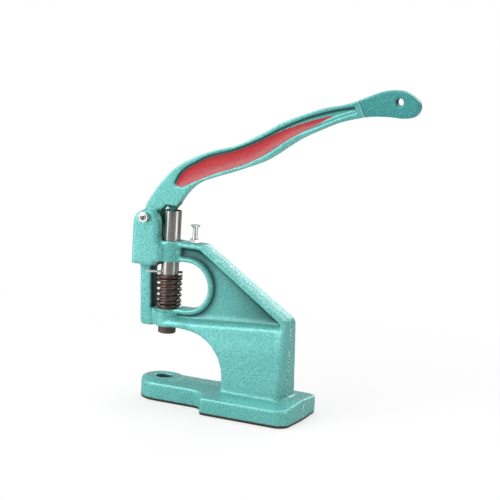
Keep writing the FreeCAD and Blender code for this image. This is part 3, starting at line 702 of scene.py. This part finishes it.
def wound_thread(name, tree, values, turn, body):
    """A thread's ridge as a plain mesh in its place on the press."""
    holder = bpy.data.objects.new(name + "_maker", bpy.data.meshes.new(name + "_maker"))
    bpy.context.scene.collection.objects.link(holder)
    maker = holder.modifiers.new("thread", "NODES")
    maker.node_group = tree
    keys = {item.name: item.identifier for item in tree.interface.items_tree
            if item.in_out == "INPUT"}
    for key, value in values.items():
        maker[keys[key]] = value
    view = bpy.context.evaluated_depsgraph_get()
    mesh = bpy.data.meshes.new_from_object(holder.evaluated_get(view))
    holder.modifiers.clear()
    bpy.data.objects.remove(holder)
    mesh.transform(turn)
    smooth_shade(mesh)
    return new_piece(name, mesh, body)


# Operators

class PRESS_OT_frame(bpy.types.Operator):
    """Casts the frame's skin: soft edges, filled inner corners, true bores, hammered paint"""
    bl_idname = "press.frame"
    bl_label = "Frame casting"

    def execute(self, context):
        cast = context.scene.press_casting
        mesh = recast("frame_casting", cast.frame_voxel)
        skin = Skin(mesh)
        skin.soften(cast.edge_rounds, 0.55)
        self.draw_shoulder(skin, cast.shoulder_draw)
        self.raise_boss(skin)
        inner = np.clip(skin.curl(6, 0.00035), 0.0, 1.0)
        for _ in range(4):
            inner = np.maximum(inner, skin.around(inner))
        skin.soften(cast.corner_rounds, np.clip(inner * 1.3, 0.0, 0.6))
        wave = waves(skin.points, 0.0065, 3) + 0.6 * waves(skin.points, 0.0032, 4)
        standing = eased(skin.points[:, 2], 0.001, 0.004)
        skin.push(wave * standing * cast.casting_wave)
        for bore in BORES:
            true_bore(skin, *bore)
        skin.points[:, 2] = np.maximum(skin.points[:, 2], CAD_BOX[0][2])
        skin.write()
        skin.store("hollow", skin.curl(8, 0.0005))
        # Painted shade where light doesn't reach, stored for the paint.
        skin.store("painted_shade", np.maximum(web_shade(skin), gap_shade(skin)))
        smooth_shade(mesh)
        piece = new_piece("frame_skin", mesh, "frame",
                          hammered_paint("hammered_teal", context.scene.press_paint))
        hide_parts("frame_casting")
        return {"FINISHED"}

    def draw_shoulder(self, skin, draw):
        """Draws the column's sides in towards its shoulder, so that it rounds over softly."""
        x, y, z = skin.millimetres()
        shoulder = SHOULDER + SHOULDER_SLOPE * x
        share = eased(z, shoulder - 30.0, shoulder + 1.0)
        share = share * (1 - eased(z, shoulder + 2.0, shoulder + 5.0))
        share = share * eased(x, 16.0, 34.0) * (1 - eased(x, 124.0, 134.0))
        share = share * eased(np.abs(y), 4.5, 9.0)
        skin.points[:, 1] -= np.sign(y) * share * draw
        skin.points[:, 2] -= share * eased(np.abs(y), 6.0, 12.0) * 0.0012

    def raise_boss(self, skin):
        """Widens the low round boss round the die's socket to nearly the tongue's width."""
        x, y, z = skin.millimetres()
        away = np.hypot(x, y)
        share = (1 - eased(away, 19.2, 20.6)) * eased(away, 12.0, 13.5) * eased(z, 19.6, 20.4)
        skin.points[:, 2] += share * np.maximum(22.4 - z, 0.0) / 1000.0


def web_shade(skin):
    """Painted shade on the sunk web: darkest beside its rims and in the pocket under the bar."""
    x, y, z = skin.millimetres()
    sunk = 1 - eased(np.abs(y), 4.8, 7.5)
    slope = HEAD_TOP - (x - BAR_REAR) * RIM_SLOPE - z
    away = np.hypot(np.maximum(x - WINDOW[0], 0.0), z - WINDOW[1]) - RING_RADIUS
    floor = z - WEB_FLOOR - SHOULDER_SLOPE * x
    on_web = eased(slope, 5.0, 8.0) * eased(away, -0.5, 0.8) * eased(floor, 0.0, 2.0)
    on_web = on_web * eased(x, 12.5, 15.0) * (1 - eased(x, 127.0, 132.0))
    on_web = on_web * (1 - eased(z, 157.0, 158.5))
    near_slope = np.exp(-np.maximum(slope - 7.0, 0.0) / 8.0)
    near_ring = np.exp(-np.maximum(away, 0.0) / 3.0)
    under_bar = np.exp(-np.maximum(157.0 - z, 0.0) / 2.0)
    beside_boss = np.exp(-np.maximum(x - 14.5, 0.0) / 3.0)
    pocket = eased(z, 144.0, 150.0) * (0.1 + 0.8 * (under_bar + beside_boss))
    depth = 0.10 + 0.70 * near_slope + 1.4 * near_ring + pocket
    corner = 0.48 * eased(x, 55.0, 115.0)
    web = sunk * on_web * np.clip(depth + corner, 0.0, 1.0)
    ledge = floor + 1.7
    cove = eased(ledge, -1.5, 1.5) * (1 - eased(ledge, 3.5, 6.0))
    cove = cove * (1 - eased(np.abs(y), 8.0, 11.0))
    cove = cove * eased(x, 22.0, 40.0) * (1 - eased(x, 127.0, 133.0)) * 0.35
    return np.maximum(web, cove)


def gap_shade(skin):
    """Painted shade between the ears and behind the spring, where light doesn't reach."""
    x, y, z = skin.millimetres()
    out = np.abs(y)
    away = np.hypot(x, y)
    facing = skin.normals()
    ears = eased(z, 158.0, 163.5) * (out < 8.0) * (np.abs(facing[:, 1]) > 0.5) * (x < 12.0)
    floor = (z > 158.0) * (out < 7.5) * (away < 12.5) * 0.7
    wall = eased(facing[:, 0], 0.25, 0.7) * (x < -8.0) * (z > 92.0) * (z < 144.0)
    wall = wall * (out < 9.0)
    seat = (away < 14.5) * (z > 90.0) * (z < 96.0) * (x < 4.0) * 0.6
    die = (away < 9.1) * (1 - eased(z, 20.0, 21.6)) * 0.85
    return np.clip(np.maximum.reduce([ears, floor, wall, seat, die]), 0.0, 1.0)


class PRESS_OT_lever(bpy.types.Operator):
    """Casts the lever's skin with its painted channel"""
    bl_idname = "press.lever"
    bl_label = "Lever"

    def execute(self, context):
        cast = context.scene.press_casting
        mesh = recast("lever_handle", cast.lever_voxel)
        skin = Skin(mesh)
        upper = even_curve(RECESS_TOP)
        lower = even_curve(RECESS_UNDER)
        pivot = np.array([PIVOT.x, PIVOT.z])

        def rims():
            flat = (skin.points[:, [0, 2]] - pivot) * 1000.0
            within = np.sign(inside_distance(flat, upper + lower))
            ends = (line_distance(flat, line) / 1000.0 for line in (upper, lower))
            return [within * end for end in ends]

        under_rim, over_rim = rims()
        x, y, z = skin.millimetres()
        side = np.sign(y)
        sunk = cast.recess_depth * (1 - np.exp(-np.maximum(under_rim, 0) / cast.recess_wall))
        climb = cast.recess_rise * (1 - 0.7 * eased(x, 120.0, 150.0))
        sunk = sunk * (1 - np.exp(-np.maximum(over_rim, 0) / climb))
        shaped = (np.minimum(under_rim, over_rim) > -0.0004) & (np.abs(y) > 1.0)
        skin.points[shaped, 1] = (side * (LEVER_FACE - sunk))[shaped]
        beneath = (over_rim < -0.0028) & (np.abs(over_rim) < np.abs(under_rim))
        bevelled = beneath & (x > 20.0) & (x < 185.0) & (np.abs(y) > 2.6)
        reach = LEVER_FACE - 0.0013 * eased(-over_rim, 0.0028, 0.0062)
        skin.points[bevelled, 1] = np.clip(skin.points[:, 1], -reach, reach)[bevelled]
        away = np.hypot(x - PIVOT.x * 1000.0, z - PIVOT.z * 1000.0)
        proud = (away > 6.5) & (np.abs(skin.points[:, 1]) > LEVER_FACE)
        skin.points[proud, 1] = (side * LEVER_FACE)[proud]
        skin.soften(cast.edge_rounds, 0.5)
        skin.push(waves(skin.points, 0.0065, 5) * cast.casting_wave * 0.6)
        skin.write()
        under_rim, over_rim = rims()
        skin.store("under_rim", under_rim)
        skin.store("over_rim", over_rim)
        skin.store("hollow", skin.curl(8, 0.00045))
        x, y, z = skin.millimetres()
        # Painted shade where the lever runs between the ears and under its toe, and inside the hang
        # hole.
        hidden = (1 - eased(z, 192.5, 194.5)) * (1 - eased(x, 1.0, 6.0)) * (x > -15.0)
        toe = (np.abs(y) < 4.7) * (1 - eased(z, 201.0, 204.0)) * (x > -12.0) * (x < 22.0)
        hidden = np.maximum(hidden, toe)
        hole = 1 - eased(np.hypot(x - HANG_HOLE[0], z - HANG_HOLE[1]), 3.7, 4.1)
        skin.store("painted_shade", np.maximum(hidden * 0.9, hole * (np.abs(y) < 4.1)))
        smooth_shade(mesh)
        piece = new_piece("lever_skin", mesh, "lever",
                          hammered_paint("hammered_teal_and_red", context.scene.press_paint,
                                         recess=True))
        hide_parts("lever_handle")
        return {"FINISHED"}


def finish_node(node, material):
    """Gives its material to a CAD node that is shown as it is."""
    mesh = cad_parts[node].data
    mesh.materials.clear()
    mesh.materials.append(material)


class PRESS_OT_ram(bpy.types.Operator):
    """Finishes the ram, its guide pin and the return spring"""
    bl_idname = "press.ram"
    bl_label = "Ram and spring"

    def execute(self, context):
        steel = context.scene.press_steel
        finish_node("ram", ground_steel("ground_bar", steel))
        self.spring(spring_steel("oiled_wire", steel))
        # The pin's back end, behind the ram, is painted brown as shade.
        finish_node("guide_pin", zinc_plate("plated_pin", steel, (0, -0.004, 0.004), 0.3))
        return {"FINISHED"}

    def spring(self, wire):
        """The return spring, a merged and smooth-shaded copy of its CAD mesh."""
        mesh = mesh_copy("return_spring")
        smooth_shade(mesh)
        mesh.set_sharp_from_angle(angle=math.radians(40))
        coils = new_piece("spring_coils", mesh, "frame", wire)
        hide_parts("return_spring")
        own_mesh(coils)


class PRESS_OT_fasteners(bpy.types.Operator):
    """Finishes the bolt, the nuts and the stop screw, and winds their threads"""
    bl_idname = "press.fasteners"
    bl_label = "Bolt, nuts and stop screw"

    def execute(self, context):
        steel = context.scene.press_steel
        zinc = zinc_plate("zinc_plate", steel)
        for node in ("pivot_nut", "stop_screw", "stop_lock_nut"):
            finish_node(node, zinc)
        # The bolt's tip gets a painted brown reflection.
        finish_node("pivot_bolt", zinc_plate("plated_bolt", steel, (1, -0.0252, -0.0257)))
        tree = thread_tree()
        low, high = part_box("stop_screw")
        nut_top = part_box("stop_lock_nut")[1][2]
        run = high[2] - STOP_HEAD_HEIGHT - nut_top
        middle = (low[0] + high[0]) / 2
        wound_thread("stop_screw_thread", tree, {
            "Radius": STOP_THREAD_RADIUS, "Pitch": steel.thread_pitch,
            "Turns": run / steel.thread_pitch, "Ridge": steel.thread_ridge,
            "Start": nut_top, "Finish": zinc,
        }, Matrix.Translation((middle, 0, 0)), "frame")
        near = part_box("pivot_bolt")[0][1]
        lie = Matrix.Translation((PIVOT.x, near + BOLT_TIP, PIVOT.z)) @ Matrix.Rotation(
            math.radians(-90), 4, "X")
        wound_thread("pivot_bolt_thread", tree, {
            "Radius": BOLT_THREAD_RADIUS, "Pitch": BOLT_PITCH, "Turns": BOLT_TURNS,
            "Ridge": steel.thread_ridge, "Start": 0.0, "Finish": zinc,
        }, lie, "frame")
        return {"FINISHED"}


class PRESS_OT_stage(bpy.types.Operator):
    """Sets the floor, the backdrop, the lamps and the camera"""
    bl_idname = "press.stage"
    bl_label = "Stage"

    def execute(self, context):
        given = context.scene.press_stage
        self.floor()
        self.room(context, given)
        self.softbox("key", (-0.55, -0.85, 0.75), (0.0, 0, 0.17), 0.7, given.key)
        self.softbox("top", (0.05, 0.25, 1.4), (0.05, 0, 0.10), 1.0, given.top)
        self.softbox("left", (-0.385, -0.395, 0.15), (0.0, 0, 0.16), 0.30, given.side * 1.3)
        self.softbox("right", (0.547, -0.06, 0.15), (0.0, 0, 0.16), 0.25, given.side)
        self.camera(context, given)
        context.scene.view_settings.view_transform = "Standard"
        return {"FINISHED"}

    def floor(self):
        work = bmesh.new()
        bmesh.ops.create_circle(work, cap_ends=True, segments=96, radius=4.0)
        mesh = bpy.data.meshes.new("floor")
        work.to_mesh(mesh)
        work.free()
        ground = bpy.data.objects.new("floor", mesh)
        ground.location.z = CAD_BOX[0][2] - FLOOR_GAP
        bpy.context.scene.collection.objects.link(ground)
        s = Shader("pale_floor")
        x, y, _ = s.axes(s.place())
        away = ((x - 0.08) * (x - 0.08) + y * y) ** 0.5
        seen = s.wire("ShaderNodeLightPath", output="Is Camera Ray")
        mirrored = s.wire("ShaderNodeLightPath", output="Is Glossy Ray")
        share = seen * (0.64 + away.between(0.15, 0.6) * 0.36)
        matt = s.node("ShaderNodeBsdfDiffuse", None, {
            "Color": s.mix(mirrored, (0.86, 0.86, 0.85), (0.40, 0.40, 0.39))})
        glow = s.node("ShaderNodeEmission", None,
                      {"Color": (1.0, 1.0, 1.0, 1.0), "Strength": 1.0})
        blend = s.node("ShaderNodeMixShader", None, {
            0: share, 1: Wire(s, matt.outputs[0]), 2: Wire(s, glow.outputs[0])})
        s.tree.links.new(blend.outputs[0], s.output.inputs["Surface"])
        mesh.materials.append(s.material)

    def room(self, context, given):
        """Even light with a wide panel at the left and a narrower one high behind."""
        s = Shader("studio", world=True)
        x, y, z = s.axes(s.wire("ShaderNodeTexCoord", output="Generated"))
        left = (x * -0.69 + y * -0.66 + z * 0.30).between(0.66, 0.92) * given.left
        back = (y * 0.90 + z * 0.435).between(0.95, 0.99) * given.back
        even = s.node("ShaderNodeBackground", None,
                      {"Color": (1, 1, 1, 1), "Strength": left + back + given.sky})
        white = s.node("ShaderNodeBackground", None, {"Color": (1, 1, 1, 1), "Strength": 1.0})
        seen = s.wire("ShaderNodeLightPath", output="Is Camera Ray")
        blend = s.node("ShaderNodeMixShader", None, {
            0: seen, 1: Wire(s, even.outputs[0]), 2: Wire(s, white.outputs[0])})
        s.tree.links.new(blend.outputs[0], s.output.inputs["Surface"])
        context.scene.world = s.material

    def softbox(self, name, place, aim, size, power):
        lamp = bpy.data.lights.new(name, "AREA")
        lamp.shape = "SQUARE"
        lamp.size = size
        lamp.energy = power
        box = bpy.data.objects.new(name, lamp)
        box.location = place
        way = Vector(aim) - Vector(place)
        box.rotation_euler = way.to_track_quat("-Z", "Y").to_euler()
        bpy.context.scene.collection.objects.link(box)

    def camera(self, context, given):
        back = Vector((
            math.sin(given.azimuth) * math.cos(given.elevation),
            -math.cos(given.azimuth) * math.cos(given.elevation),
            math.sin(given.elevation),
        ))
        right = (-back).cross(Vector((0, 0, 1))).normalized()
        up = right.cross(-back)
        cosine = math.cos(given.roll)
        sine = math.sin(given.roll)
        across = right * cosine + up * sine
        rise = up * cosine - right * sine
        lens = bpy.data.cameras.new("camera")
        lens.sensor_width = 36.0
        lens.lens = given.lens
        lens.clip_end = 50.0
        eye = bpy.data.objects.new("camera", lens)
        turn = Matrix((across, rise, back)).transposed().to_4x4()
        eye.matrix_world = Matrix.Translation(CAMERA_TARGET + back * given.distance) @ turn
        context.scene.collection.objects.link(eye)
        context.scene.camera = eye


class PRESS_PT_panel(bpy.types.Panel):
    """Lists the press's pieces and their settings"""
    bl_idname = "PRESS_PT_panel"
    bl_label = "Eyelet Press"
    bl_space_type = "VIEW_3D"
    bl_region_type = "UI"
    bl_category = "Eyelet Press"

    def draw(self, context):
        for operator in OPERATORS:
            self.layout.operator(operator.bl_idname)
        for group in GROUPS:
            part = self.layout.box()
            held = getattr(context.scene, group)
            for key in held.bl_rna.properties.keys():
                if key not in ("rna_type", "name"):
                    part.prop(held, key)


OPERATORS = (PRESS_OT_stage, PRESS_OT_frame, PRESS_OT_lever, PRESS_OT_ram, PRESS_OT_fasteners)
GROUPS = {
    "press_paint": PressPaintSettings,
    "press_casting": PressCastingSettings,
    "press_steel": PressSteelSettings,
    "press_stage": PressStageSettings,
}


def register():
    for kind in (*GROUPS.values(), *OPERATORS, PRESS_PT_panel):
        bpy.utils.register_class(kind)
    for name, kind in GROUPS.items():
        setattr(bpy.types.Scene, name, PointerProperty(type=kind))


def unregister():
    for name in GROUPS:
        delattr(bpy.types.Scene, name)
    for kind in (PRESS_PT_panel, *reversed(OPERATORS), *reversed(list(GROUPS.values()))):
        bpy.utils.unregister_class(kind)


def main():
    register()
    bpy.ops.press.stage()
    bpy.ops.press.frame()
    bpy.ops.press.lever()
    bpy.ops.press.ram()
    bpy.ops.press.fasteners()


if __name__ == "__main__":
    main()
